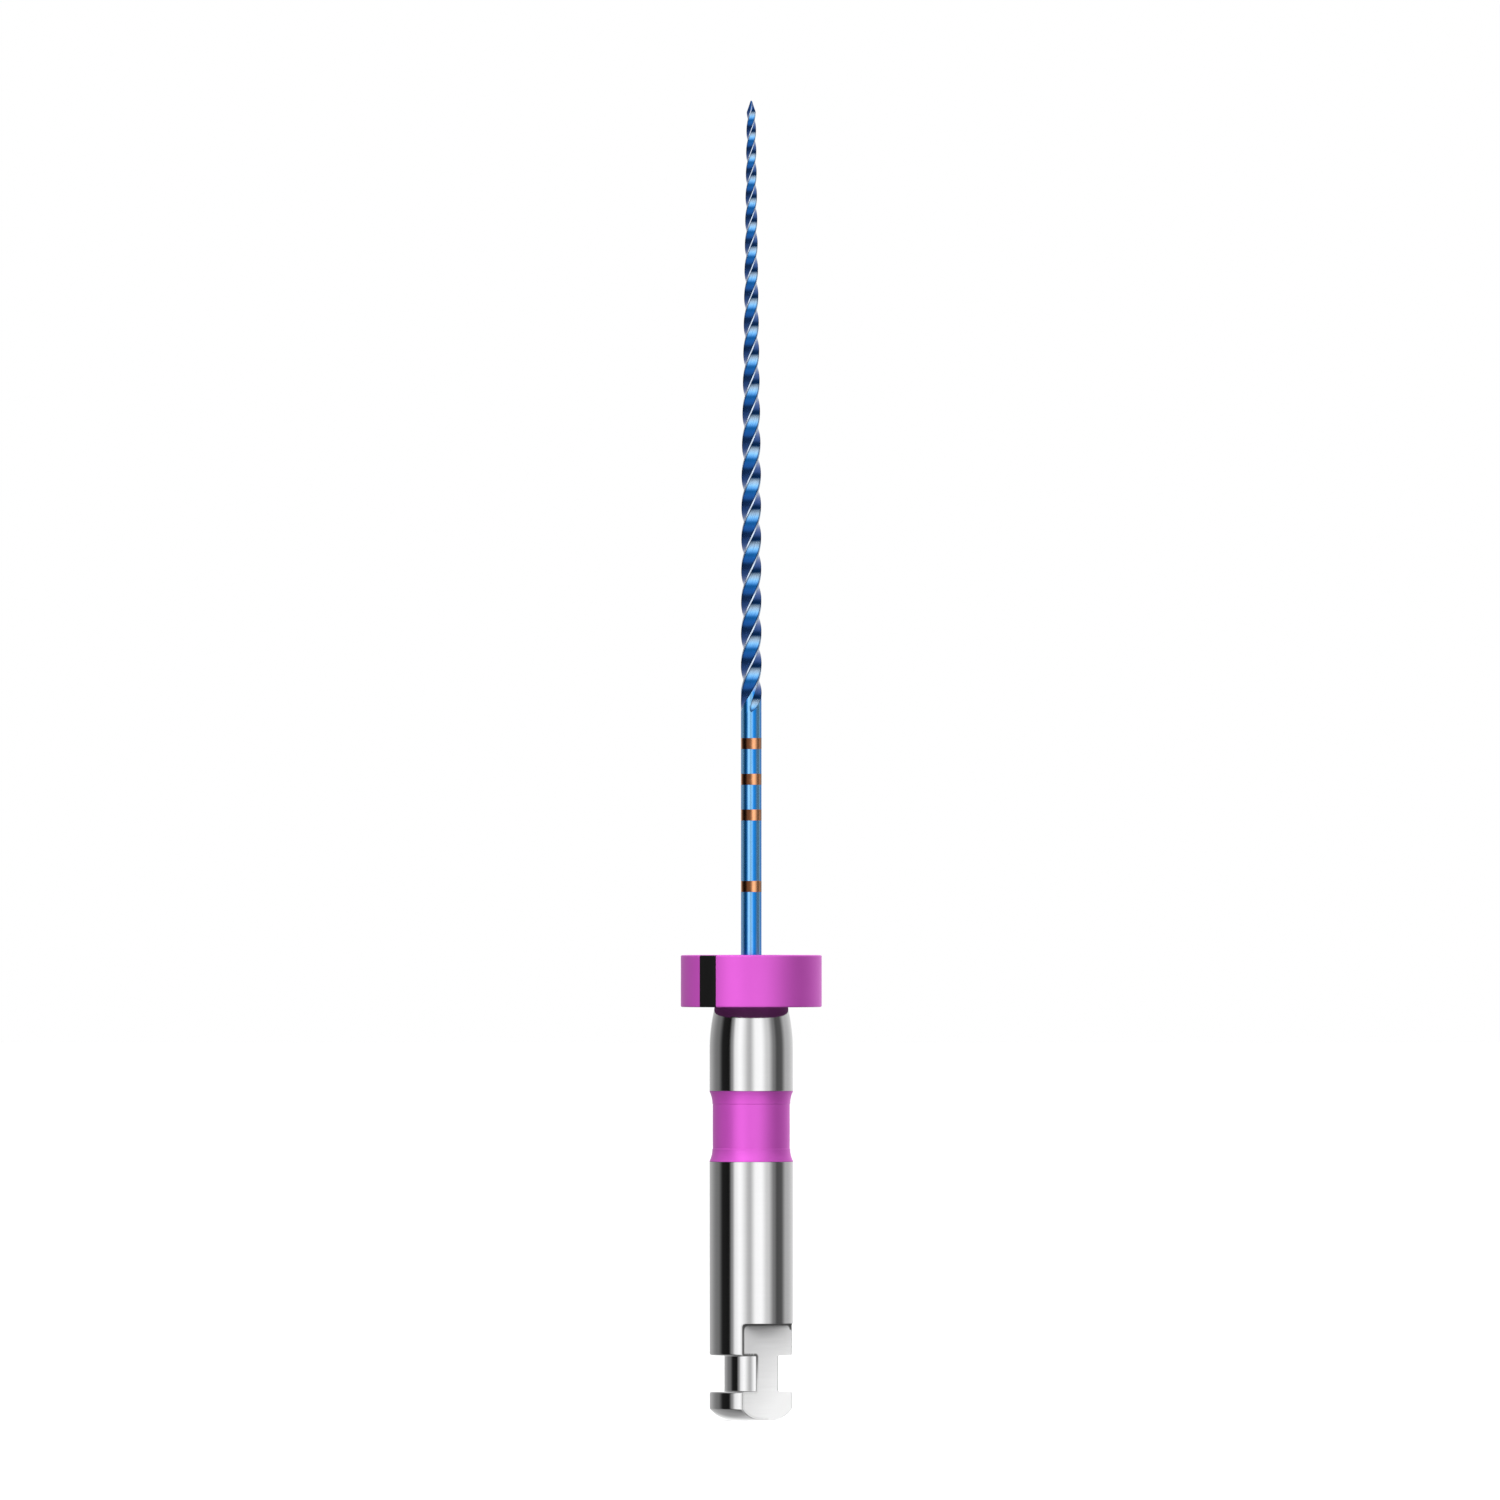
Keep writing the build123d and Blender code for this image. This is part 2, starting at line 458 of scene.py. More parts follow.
@dataclass(frozen=True)
class BlueTitanium(Finish):
    """Nickel titanium with the blue oxide left by its treatment in the furnace.

    Attributes:
        pale_highlight_blue: The light blue of the painted highlights, in streaks on the wire and along one
            line of each flute.
        bright: The saturated blue between the streaks.
        deep_shade_blue: The dark blue of the painted shade beside the light-blue line of a flute, which also
            darkens the wheel marks and the whole oxide a little.
        violet_shade_blue: The violet of the painted shade on the flutes.
        land: The light colour of the narrow lands, partly their rubbed bare metal and partly a painted
            highlight along each edge; it also lays a painted highlight line across each flute.
        edge: The colour of the dark line along both edges of a flute.
        shade: Light phases that bound the painted shade of a flute, below and above.
        bands: The bands of painted light across a flute, from the widest to the narrowest.
        streaks: Number of light-blue streaks round the wire, which paint its highlights.
        streak_highlight_bearing: Bearing of one streak, and so of a painted highlight, in degrees from +X.
        streak_edge: Levels of the wave where a streak starts, and where it is full.
        wheel_scale: Periods of the wheel marks in a turn and in a millimetre.
        wheel_tone: How much the wheel marks darken a flute.
        drawn: The drawing marks of the wire.
        bump: Strength and depth of the marks' relief.
    """

    pale_highlight_blue: Colour = (0.23, 0.53, 0.84)
    bright: Colour = (0.005, 0.18, 0.56)
    deep_shade_blue: Colour = (0.003, 0.055, 0.22)
    violet_shade_blue: Colour = (0.038, 0.115, 0.38)
    land: Colour = (0.56, 0.66, 0.80)
    edge: Colour = (0.002, 0.012, 0.05)
    shade: tuple[tuple[float, float], ...] = ((0.27, 0.12), (0.60, 0.70))
    bands: tuple[PaintedLightBand, ...] = (
        PaintedLightBand(bright, (0.27, 0.42), (0.60, 0.54), 0.75),
        PaintedLightBand(pale_highlight_blue, (0.36, 0.51), (0.59, 0.545)),
        PaintedLightBand(land, (0.44, 0.54), (0.59, 0.55), 0.6),
    )
    streaks: int = 7
    streak_highlight_bearing: float = 218.0
    streak_edge: tuple[float, float] = (0.05, 0.95)
    drift: Grain = Grain(1.1, 0.45)
    drift_heat: float = 0.05
    drift_streak: float = 0.5
    wheel_scale: tuple[float, float, float] = (72.0, 1.2, 1.0)
    wheel_detail: float = 3.0
    wheel_tone: float = 1.6
    wheel_roughness: float = 0.1
    dust: float = 0.08
    drawn: Grain = Grain(70, 1.2, 2)
    roughness: float = 0.17
    ground_roughness: float = 0.02
    land_roughness: float = 0.18
    metallic: float = 0.84
    bump: tuple[float, float] = (0.10, 0.001)

    def surface(self, graph: Graph) -> Wire:
        """Painted light and shade in blue: light-blue streaks round the wire and bands across each flute by
        the way it faces, with wheel marks along the flutes and light-blue lands.

        Args:
            graph: The material's tree.

        Returns:
            The shader.
        """
        names = ("ground", "land", "painted_light_phase", "dark_flute_edge")
        ground, land, light_phase, dark_edge = (graph.attribute(name) for name in names)
        drift, drawn = graph.grain(self.drift), graph.grain(self.drawn)
        along = graph.add("ShaderNodeUVMap", {"uv_map": "UVMap"})
        wheel = graph.noise(along, self.wheel_scale, self.wheel_detail)
        # the light phase is the way a flute faces from the highlight bearing; the bands paint highlight and
        # shade by it
        light_phase = light_phase + drift * self.drift_heat
        below, beyond = self.shade
        flute = graph.mix(light_phase.ease(*below) + light_phase.ease(*beyond), self.deep_shade_blue, self.violet_shade_blue)
        for band in self.bands:
            flute = graph.mix(light_phase.ease(*band.rise) * light_phase.ease(*band.fall) * band.share, flute, band.colour)
        # darker along both edges of each flute, and where the cut runs shallow
        flute = graph.mix(dark_edge, flute, self.edge)
        # light-blue streaks round the wire are painted highlights, one of them at the streak bearing
        streak = graph.wave(self.streaks, self.streak_highlight_bearing) + drift * self.drift_streak
        oxide = graph.mix(ground, graph.mix(streak.ease(*self.streak_edge), self.bright, self.pale_highlight_blue), flute)
        oxide = graph.mix(wheel * self.wheel_tone * ground + self.dust, oxide, self.deep_shade_blue)
        rough = ground * (wheel * self.wheel_roughness + self.ground_roughness) + land * self.land_roughness
        relief = graph.relief(wheel * ground + drawn * (1 - ground), *self.bump)
        others = {"Metallic": self.metallic, "Normal": relief}
        # the lands take the light land colour: a painted highlight along each edge, partly their rubbed bare
        # metal
        return graph.principled(graph.mix(land, oxide, self.land), self.roughness + rough, others)


@dataclass(frozen=True)
class CopperPlate(Finish):
    """Thin plating of the depth marks.

    Attributes:
        colour: Its colour on its painted highlight sides.
        shade_and_tarnish: The colour of its painted shade between those sides, and of its random darker
            patches.
        sides: Number of painted highlight sides round the shaft.
        copper_highlight_bearing: Bearing of one of them, in degrees from +X.
        painted_lit_side: Levels where a painted highlight side starts, and where it is full.
        patch: The random patches of browner plating.
        rub: The marks of wiping.
        bump: Strength and depth of those marks' relief.
    """

    colour: Colour = (0.86, 0.40, 0.20)
    shade_and_tarnish: Colour = (0.11, 0.041, 0.018)
    sides: int = 3
    copper_highlight_bearing: float = 255.0
    painted_lit_side: tuple[float, float] = (0.15, 1.0)
    patch: Grain = Grain(5, 7, 4)
    patch_share: float = 0.3
    rub: Grain = Grain(60, 3, 2)
    rub_roughness: float = 0.14
    roughness: float = 0.24
    bump: tuple[float, float] = (0.15, 0.001)

    def surface(self, graph: Graph) -> Wire:
        """Satin copper, with painted highlight sides round the shaft, painted shade between them, and random
        browner patches.

        Args:
            graph: The material's tree.

        Returns:
            The shader.
        """
        # painted highlight and shade: lighter sides round the shaft, one of them at the highlight bearing,
        # darker between
        painted_lit_side = graph.wave(self.sides, self.copper_highlight_bearing) + graph.grain(self.patch) * self.patch_share
        rub = graph.grain(self.rub)
        tone = graph.mix(painted_lit_side.ease(*self.painted_lit_side), self.shade_and_tarnish, self.colour)
        others = {"Metallic": 1.0, "Normal": graph.relief(rub, *self.bump)}
        return graph.principled(tone, self.roughness + rub * self.rub_roughness, others)


@dataclass(frozen=True)
class Moulding(Finish):
    """A moulded rubber or resin in one pearly colour.

    Attributes:
        colour: Its mean colour.
        pearl: How much of its light it mirrors in its own colour.
        roughness: Its mean roughness.
        gloss: Strength of its colourless reflection.
        painted_light_swing: How much the colour is painted lighter in each lobe of painted light round the
            axis, and darker between them.
        painted_light_lobes: Number of lobes of painted light round the axis.
        painted_light_bearing: Bearing of one lobe's painted highlight, in degrees from +X.
        cloud: The slow changes of tone.
        grit: The moulded texture.
        bump: Strength and depth of that texture's relief.
    """

    colour: Colour = (0.60, 0.087, 0.545)
    pearl: float = 0.5
    roughness: float = 0.45
    gloss: float = 0.5
    painted_light_swing: float = 0.22
    painted_light_lobes: int = 3
    painted_light_bearing: float = 205.0
    cloud: Grain = Grain(0.8, 0.8)
    cloud_tone: float = 0.2
    grit: Grain = Grain(45, 45, 2)
    grit_roughness: float = 0.08
    bump: tuple[float, float] = (0.2, 0.0015)

    def surface(self, graph: Graph) -> Wire:
        """A faint moulded grain, slow random changes of tone, and painted highlight and shade in lobes round
        the axis.

        Args:
            graph: The material's tree.

        Returns:
            The shader.
        """
        grit = graph.grain(self.grit)
        # painted highlight and shade: lighter in lobes round the axis, darker between them
        share = graph.grain(self.cloud) * self.cloud_tone + graph.wave(self.painted_light_lobes, self.painted_light_bearing)
        tone = graph.mix(share, toned(self.colour, 1 - self.painted_light_swing), toned(self.colour, 1 + self.painted_light_swing))
        relief = graph.relief(grit, *self.bump)
        others = {"Metallic": self.pearl, "Specular IOR Level": self.gloss, "Normal": relief}
        return graph.principled(tone, self.roughness + grit * self.grit_roughness, others)


@dataclass(frozen=True)
class CuredAdhesive(Finish):
    """Clear amber adhesive round the tang."""

    colour: Colour = (0.42, 0.30, 0.14)
    clouded: Colour = (0.30, 0.20, 0.09)
    cloud: Grain = Grain(9, 9)
    cloud_roughness: float = 0.1
    roughness: float = 0.28

    def surface(self, graph: Graph) -> Wire:
        """Slightly clouded resin.

        Args:
            graph: The material's tree.

        Returns:
            The shader.
        """
        cloud = graph.grain(self.cloud)
        tone = graph.mix(cloud + 0.5, self.colour, self.clouded)
        return graph.principled(tone, self.roughness + cloud * self.cloud_roughness, {})


@dataclass(frozen=True)
class PaleFloor(Finish):
    """A plain white table that keeps the shadows, and a black one for the light that it would bounce."""

    matt: Colour = (0.8, 0.8, 0.8)
    black: Colour = (0.01, 0.01, 0.01)
    glow: float = 0.34

    def surface(self, graph: Graph) -> Wire:
        """Matt white, lifted to white where the camera sees it unshadowed.

        Args:
            graph: The material's tree.

        Returns:
            The shader.
        """
        matt = graph.add("ShaderNodeBsdfDiffuse", inputs={"Color": self.matt})
        lift = graph.add("ShaderNodeEmission", inputs={"Color": WHITE, "Strength": self.glow})
        white = graph.add("ShaderNodeAddShader", inputs={0: matt, 1: lift})
        black = graph.add("ShaderNodeBsdfDiffuse", inputs={"Color": self.black})
        return graph.add("ShaderNodeMixShader", inputs={0: graph.seen(), 1: black, 2: white})


@dataclass(frozen=True)
class TentWall(Finish):
    """The lit wall of the light tent, with its dark and bright cards.

    Attributes:
        light: Makes the colour of the wall from the direction towards it.
        strength: Brightness of a white card.
    """

    light: Callable[[Graph, Wire], Wire]
    strength: float

    def surface(self, graph: Graph) -> Wire:
        """The cards, as light.

        Args:
            graph: The material's tree.

        Returns:
            The shader.
        """
        outwards = graph.add("ShaderNodeVectorMath", {"operation": "NORMALIZE"}, {0: graph.place()})
        light = self.light(graph, outwards)
        return graph.add("ShaderNodeEmission", inputs={"Color": light, "Strength": self.strength})


STEEL = PolishedSteel("polished_steel")
MILLED = MilledSteel("milled_steel")
BLUE = BlueTitanium("blue_titanium")
COPPER = CopperPlate("copper_plate")
ADHESIVE = CuredAdhesive("cured_adhesive")
RING_RESIN = Moulding("ring_resin", roughness=0.43)
STOP_RUBBER = Moulding("stop_rubber")
STOP_FACE = Moulding("stop_face", pearl=0.0, roughness=0.9, gloss=0.1, painted_light_swing=0.03)
MARKER_RUBBER = Moulding("marker_rubber", colour=(0.004, 0.004, 0.004), pearl=0.0, gloss=0.2, painted_light_swing=0.03)


# ---- Outlines and meshes ----


def span(node: str) -> tuple[float, float]:
    """Lowest and highest Z of a CAD node, in millimetres."""
    low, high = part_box(node)
    return low.z / MM, high.z / MM


def reach(node: str) -> float:
    """Largest radius of a CAD node on the axis, in millimetres."""
    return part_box(node)[1].x / MM


def circle(radius: float, angles: np.ndarray) -> np.ndarray:
    """Points of a circle, at angles from +X."""
    return radius * np.stack([np.cos(angles), np.sin(angles)], -1)


def tangent_arc(start: Point, heading: Point, end: Point, steps: int) -> list[Point]:
    """Points of an arc that leaves its start along a heading.

    Args:
        start: First point.
        heading: Direction at the start, of any length.
        end: Last point.
        steps: Number of chords.

    Returns:
        The points, with both ends.
    """
    length = math.hypot(*heading)
    hx, hz = heading[0] / length, heading[1] / length
    cx, cz = end[0] - start[0], end[1] - start[1]
    turn = 2 * math.atan2(hx * cz - hz * cx, hx * cx + hz * cz)
    radius = math.hypot(cx, cz) / (2 * math.sin(turn / 2))
    points = []
    for step in range(steps + 1):
        part = turn * step / steps
        forward, aside = radius * math.sin(part), radius * (1 - math.cos(part))
        points.append((start[0] + hx * forward - hz * aside, start[1] + hz * forward + hx * aside))
    return points


def rounded(corners: Sequence[tuple[float, ...]], steps: int = 5) -> list[Point]:
    """An outline with its corners rounded.

    Args:
        corners: (radius, height) or (radius, height, rounding) of each corner, open at both ends.
        steps: Chords in each rounding.

    Returns:
        The outline's points.
    """
    points: list[Point] = []
    for index, corner in enumerate(corners):
        here = np.array(corner[:2])
        if len(corner) < 3 or index in (0, len(corners) - 1):
            points.append((corner[0], corner[1]))
            continue
        back = np.array(corners[index - 1][:2]) - here
        ahead = np.array(corners[index + 1][:2]) - here
        back, ahead = back / np.linalg.norm(back), ahead / np.linalg.norm(ahead)
        opening = math.acos(float(np.clip(back @ ahead, -1, 1)))
        cut = corner[2] / math.tan(opening / 2)
        points += tangent_arc(tuple(here + back * cut), tuple(-back), tuple(here + ahead * cut), steps)
    return points


def graded(points: Sequence[Point], longest: float, support: float = 0.012) -> list[Point]:
    """An outline with its long chords divided, and a support point close to each of their ends.

    Args:
        points: The outline.
        longest: The longest chord that is left.
        support: Distance of the support points from a long chord's ends.

    Returns:
        The denser outline.
    """
    denser = [tuple(points[0])]
    for start, end in zip(points, points[1:]):
        a, b = np.array(start), np.array(end)
        length = float(np.linalg.norm(b - a))
        shares = [1.0]
        if length > GRADED_CHORD * support:
            count = max(2, math.ceil(length / longest) + 1)
            inner = np.linspace(support / length, 1 - support / length, count)
            shares = [*inner, 1.0]
        denser += [tuple(a + (b - a) * share) for share in shares]
    return denser


def revolved(outline: Sequence[Point], columns: int) -> np.ndarray:
    """Rows of points of a turned outline.

    Args:
        outline: Its (radius, height) points.
        columns: Points round the axis.

    Returns:
        The points, as rows, columns, 3.
    """
    angles = np.arange(columns) * TURN / columns
    radii, heights = np.array(outline).T
    around = [np.outer(radii, np.cos(angles)), np.outer(radii, np.sin(angles))]
    return np.stack([*around, np.tile(heights[:, None], columns)], -1)


def grid_mesh(
    name: str,
    rows: np.ndarray,
    closed: bool = False,
    attributes: dict[str, np.ndarray] | None = None,
    slots: np.ndarray | None = None,
) -> bpy.types.Mesh:
    """A closed surface from rows of points round the axis.

    Args:
        name: Name of the mesh.
        rows: Points in millimetres, as rows, columns, 3; the columns go all the way round.
        closed: Whether the last row joins the first one.
        attributes: Values at the points, by name.
        slots: The material slot of each face, as rows of faces and columns.

    Returns:
        The mesh, with a UV map: turns round the axis, and millimetres along the rows.
    """
    count, columns = rows.shape[:2]
    row, column = np.meshgrid(np.arange(count - (not closed)), np.arange(columns), indexing="ij")
    after, beside = (row + 1) % count * columns, (column + 1) % columns
    corners = [row * columns + column, row * columns + beside, after + beside, after + column]
    mesh = bpy.data.meshes.new(name)
    faces = np.stack(corners, -1).reshape(-1, 4)
    mesh.from_pydata((rows.reshape(-1, 3) * MM).tolist(), [], faces.tolist())
    along = np.concatenate([[0], np.cumsum(np.linalg.norm(np.diff(rows[:, 0], axis=0), axis=1))])
    along = np.append(along, along[-1] + 1)
    u = np.stack([column, column + 1, column + 1, column], -1) / columns
    v = np.stack([along[row], along[row], along[row + 1], along[row + 1]], -1)
    mesh.uv_layers.new(name="UVMap").data.foreach_set("uv", np.stack([u, v], -1).astype(np.float32).ravel())
    for key, values in (attributes or {}).items():
        layer = mesh.attributes.new(key, "FLOAT", "POINT")
        layer.data.foreach_set("value", values.astype(np.float32).ravel())
    if slots is not None:
        mesh.polygons.foreach_set("material_index", slots.astype(np.int32).ravel())
    tidy(mesh)
    return mesh


def tidy(mesh: bpy.types.Mesh) -> None:
    """Merges doubles, which closes open ends, and points every face outwards.

    Args:
        mesh: The mesh, which is changed.
    """
    work = bmesh.new()
    work.from_mesh(mesh)
    bmesh.ops.remove_doubles(work, verts=work.verts, dist=MERGE_DISTANCE)
    bmesh.ops.dissolve_degenerate(work, dist=MERGE_DISTANCE, edges=work.edges)
    bmesh.ops.recalc_face_normals(work, faces=work.faces)
    work.to_mesh(mesh)
    work.free()


def put(name: str, data: bpy.types.ID) -> bpy.types.Object:
    """Puts a new object into the scene.

    Args:
        name: Its name.
        data: Its mesh, light or camera.

    Returns:
        The object.
    """
    made = bpy.data.objects.new(name, data)
    bpy.context.scene.collection.objects.link(made)
    return made


class GeometryTree(Graph):
    """A geometry tree with named inputs, which grows a mesh from another one."""

    KINDS = {float: "NodeSocketFloat", int: "NodeSocketInt", bpy.types.Material: "NodeSocketMaterial"}

    def __init__(self, name: str, values: dict[str, float | bpy.types.Material]) -> None:
        """Makes the tree with an input for each value.

        Args:
            name: Its name.
            values: The inputs' values, by name, with the material under "Finish".
        """
        super().__init__(bpy.data.node_groups.new(name, "GeometryNodeTree"))
        self.values = values
        kinds = {key: self.KINDS[type(value)] for key, value in values.items()}
        for key, kind in {"Geometry": "NodeSocketGeometry", **kinds}.items():
            self.tree.interface.new_socket(name=key, in_out="INPUT", socket_type=kind)
        self.tree.interface.new_socket(name="Geometry", in_out="OUTPUT", socket_type="NodeSocketGeometry")
        self.source = self.add("NodeGroupInput")

    def size(self, name: str) -> Wire:
        """One of the named inputs."""
        return self.source.output(name)

    def grow(self, name: str, base: bpy.types.Mesh, shape: Wire) -> bpy.types.Mesh:
        """What the tree makes of a mesh.

        Args:
            name: Name of the result.
            base: The mesh that the tree starts from.
            shape: The geometry at the end of the tree.

        Returns:
            A plain mesh.
        """
        shape = self.add("GeometryNodeRealizeInstances", inputs={0: shape})
        shape = self.add("GeometryNodeSetMaterial", inputs={0: shape, "Material": self.size("Finish")})
        self.add("NodeGroupOutput", inputs={"Geometry": shape})
        holder = put(name + "_base", base)
        modifier = holder.modifiers.new("grow", "NODES")
        modifier.node_group = self.tree
        for item in self.tree.interface.items_tree:
            if item.in_out == "INPUT" and item.name in self.values:
                modifier[item.identifier] = self.values[item.name]
        depsgraph = bpy.context.evaluated_depsgraph_get()
        mesh = bpy.data.meshes.new_from_object(holder.evaluated_get(depsgraph))
        mesh.name = name
        bpy.data.objects.remove(holder)
        tidy(mesh)
        return mesh


@dataclass
class SubAssembly:
    """A part of the file that is made and dressed together. Sizes are in millimetres."""

    pieces: list[bpy.types.Object] = field(default_factory=list, init=False)

    def keep(
        self, mesh: bpy.types.Mesh, finishes: Sequence[Finish], body: Body, slot: str, nodes: Sequence[str]
    ) -> None:
        """Makes a mesh a piece of the object.

        Args:
            mesh: The finished mesh, in place.
            finishes: Its finishes, in the order of its material slots.
            body: The body that it rides on.
            slot: The record's material slot; not used.
            nodes: The CAD nodes that it stands for.
        """
        piece = put(mesh.name, mesh)
        if not mesh.materials:
            for finish in finishes:
                mesh.materials.append(finish.material())
        mesh.polygons.foreach_set("use_smooth", [True] * len(mesh.polygons))
        mesh.set_sharp_from_angle(angle=CREASE)
        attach(piece, body.value)
        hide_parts(*nodes)
        self.pieces.append(piece)

    def build(self) -> None:
        """Makes the sub-assembly's pieces; each kind does it in its own way."""
        raise NotImplementedError


# ---- Handle ----


@dataclass
class Handle(SubAssembly):
    """The latch shank: a turned bar with a milled drive flat, a groove for the ring and a bored nose."""

    end_face_radius: float = 0.5
    end_edge_rise: float = 0.33
    end_chords: int = 30
    flange_height: float = 0.81
    groove_width: float = 1.01
    groove_radius: float = 0.76
    groove_draft: float = 0.004
    flat_offset: float = 0.625
    shoulder_height: float = 2.72
    shoulder_fillet: float = 0.10
    shoulder_shares: tuple[float, ...] = (0.03, 0.35, 0.7, 0.97, 1)
    ring_groove_radius: float = 0.90
    nose_length: float = 1.21
    nose_radius: float = 1.03
    nose_chords: int = 24
    bore_depth: float = 3.60
    outline_corner: float = 0.20
    root_fillet: float = 0.03
    edge_break: float = 0.06
    fine_break: float = 0.02
    flat_edge_break: float = 0.05
    row_spacing: float = 0.09
    row_clearance: float = 0.01
    fillet_rows: int = 9
    flat_columns: int = 72
    corner_columns: int = 5
    round_columns: int = 168

    def outline(self) -> list[Point]:
        """The turned outline.

        Returns:
            Its points, from the middle of the latch end to the bottom of the bore.
        """
        shank, bore = reach("handle"), reach("tang_bond")
        ring_bottom, ring_top = span("size_band")
        top = span("handle")[1]
        groove_top = self.flange_height + self.groove_width
        end_arc = tangent_arc((self.end_face_radius, 0), (1, 0), (shank, self.end_edge_rise), self.end_chords)
        nose_start = (shank, top - self.nose_length)
        nose_arc = tangent_arc(nose_start, (0, 1), (self.nose_radius, top), self.nose_chords)
        corners = [
            (0, 0),
            *end_arc[:-1],
            (*end_arc[-1], self.edge_break),
            (shank, self.flange_height, self.edge_break),
            (self.groove_radius, self.flange_height + self.groove_draft, self.root_fillet),
            (self.groove_radius, groove_top - self.groove_draft, self.root_fillet),
            (shank, groove_top, self.edge_break),
            (shank, self.shoulder_height),
            (shank, ring_bottom, self.fine_break),
            (self.ring_groove_radius, ring_bottom),
            (self.ring_groove_radius, ring_top),
            (shank, ring_top, self.fine_break),
            *nose_arc[:-1],
            (*nose_arc[-1], self.fine_break),
            (bore, top, self.fine_break / 2),
            (bore, top - self.bore_depth),
            (0, top - self.bore_depth),
        ]
        return graded(rounded(corners), self.row_spacing)

    @staticmethod
    def back(radius: float, angles: np.ndarray) -> np.ndarray:
        """Points of a round, at angles from -Y."""
        return circle(radius, angles)[:, ::-1] * (1, -1)

    def flat_section(self, radius: float, offset: float) -> np.ndarray:
        """A round section cut by the flat, with broken corners.

        Args:
            radius: Radius of the round.
            offset: Distance of the flat from the axis.

        Returns:
            The section's points, as columns, 2: the flat first, then round the back.
        """
        offset = min(offset, radius)
        corner = min(self.flat_edge_break, radius / 2)
        half = math.sqrt(max((radius - corner) ** 2 - (offset - corner) ** 2, 0))
        turn = math.atan2(half, offset - corner)
        flat = np.linspace(-half, half, self.flat_columns)
        bend = np.linspace(0, turn, self.corner_columns + 2)[1:-1]
        arc = np.linspace(turn, TURN - turn, self.round_columns)
        face = np.stack([flat, np.full_like(flat, -offset)], -1)
        right = np.stack([half + corner * np.sin(bend), corner - offset - corner * np.cos(bend)], -1)
        return np.concatenate([face, right, self.back(radius, arc), (right * (-1, 1))[::-1]])

    def round_section(self, radius: float) -> np.ndarray:
        """A whole round section, with its columns in line with those of the flat below it.

        Args:
            radius: Radius of the round.

        Returns:
            The section's points, as columns, 2.
        """
        shank, offset, corner = reach("handle"), self.flat_offset + self.shoulder_fillet, self.flat_edge_break
        turn = math.acos((offset - corner) / (shank - corner))
        inner = turn - corner / shank
        bend = np.linspace(inner, turn, self.corner_columns + 2)[1:-1]
        arc = np.linspace(turn, TURN - turn, self.round_columns)
        face = np.linspace(-inner, inner, self.flat_columns)
        return self.back(radius, np.concatenate([face, bend, arc, -bend[::-1]]))

    def sections(self) -> tuple[np.ndarray, int]:
        """The rows of the whole handle.

        Returns:
            The points, as rows, columns, 3, and the number of rows below the fillet of the shoulder.
        """
        outline = self.outline()
        shank = reach("handle")
        fillet_start = self.shoulder_height - self.shoulder_fillet
        lowest, highest = fillet_start - self.row_clearance, self.shoulder_height + self.row_clearance / 2
        lower = [point for point in outline if point[1] < lowest and point[0] > 0]
        upper = [point for point in outline[len(lower) + 1 :] if point[1] > highest]
        rows = [(self.flat_section(0, self.flat_offset), 0.0)]
        rows += [(self.flat_section(radius, self.flat_offset), height) for radius, height in lower]
        below_fillet = len(rows)
        for angle in np.linspace(0, math.pi / 2, self.fillet_rows):
            offset = self.flat_offset + self.shoulder_fillet * (1 - math.cos(angle))
            height = fillet_start + self.shoulder_fillet * math.sin(angle)
            rows.append((self.flat_section(shank, offset), height))
        chord, whole = rows[-1][0], self.round_section(shank)
        rows += [(chord + (whole - chord) * share, self.shoulder_height) for share in self.shoulder_shares]
        rows += [(self.round_section(radius), height) for radius, height in upper]
        points = [np.column_stack([section, np.full(len(section), height)]) for section, height in rows]
        return np.array(points), below_fillet

    def outline_distance(self, rows: np.ndarray, below_fillet: int) -> np.ndarray:
        """Distance of each point of the flat from the flat's outline.

        Args:
            rows: The handle's points.
            below_fillet: The number of rows that the flat spans.

        Returns:
            The distances in millimetres, as rows, columns; 1 off the flat.
        """
        distance = np.ones(rows.shape[:2])
        below_shoulder = below_fillet + self.fillet_rows
        side = rows[:below_fillet, 0][:, [0, 2]]
        spots = rows[:below_shoulder, : self.flat_columns][:, :, [0, 2]]
        below_top = self.shoulder_height - spots[:, :, 1]
        nearest = np.linalg.norm(spots[:, :, None] - side, axis=3).min(axis=2)
        nearest = np.minimum(nearest, below_top)
        inwards = self.outline_corner + side[-1, 0] + np.abs(spots[:, :, 0])
        upwards = self.outline_corner - below_top
        rounding = np.maximum(self.outline_corner - np.hypot(inwards, upwards), 0)
        in_corner = (inwards > 0) & (upwards > 0)
        nearest = np.where(in_corner, np.minimum(rounding, nearest), nearest)
        distance[:below_shoulder, : self.flat_columns] = nearest
        return distance

    def build(self) -> None:
        """Makes the handle in one piece."""
        rows, below_fillet = self.sections()
        slots = np.zeros((rows.shape[0] - 1, rows.shape[1]), int)
        slots[: below_fillet + self.fillet_rows - 1, : self.flat_columns - 1] = 1
        distance = self.outline_distance(rows, below_fillet)
        mesh = grid_mesh("latch_handle", rows, attributes={"outline_distance": distance}, slots=slots)
        self.keep(mesh, [STEEL, MILLED], Body.FILE, "steel", ["handle"])


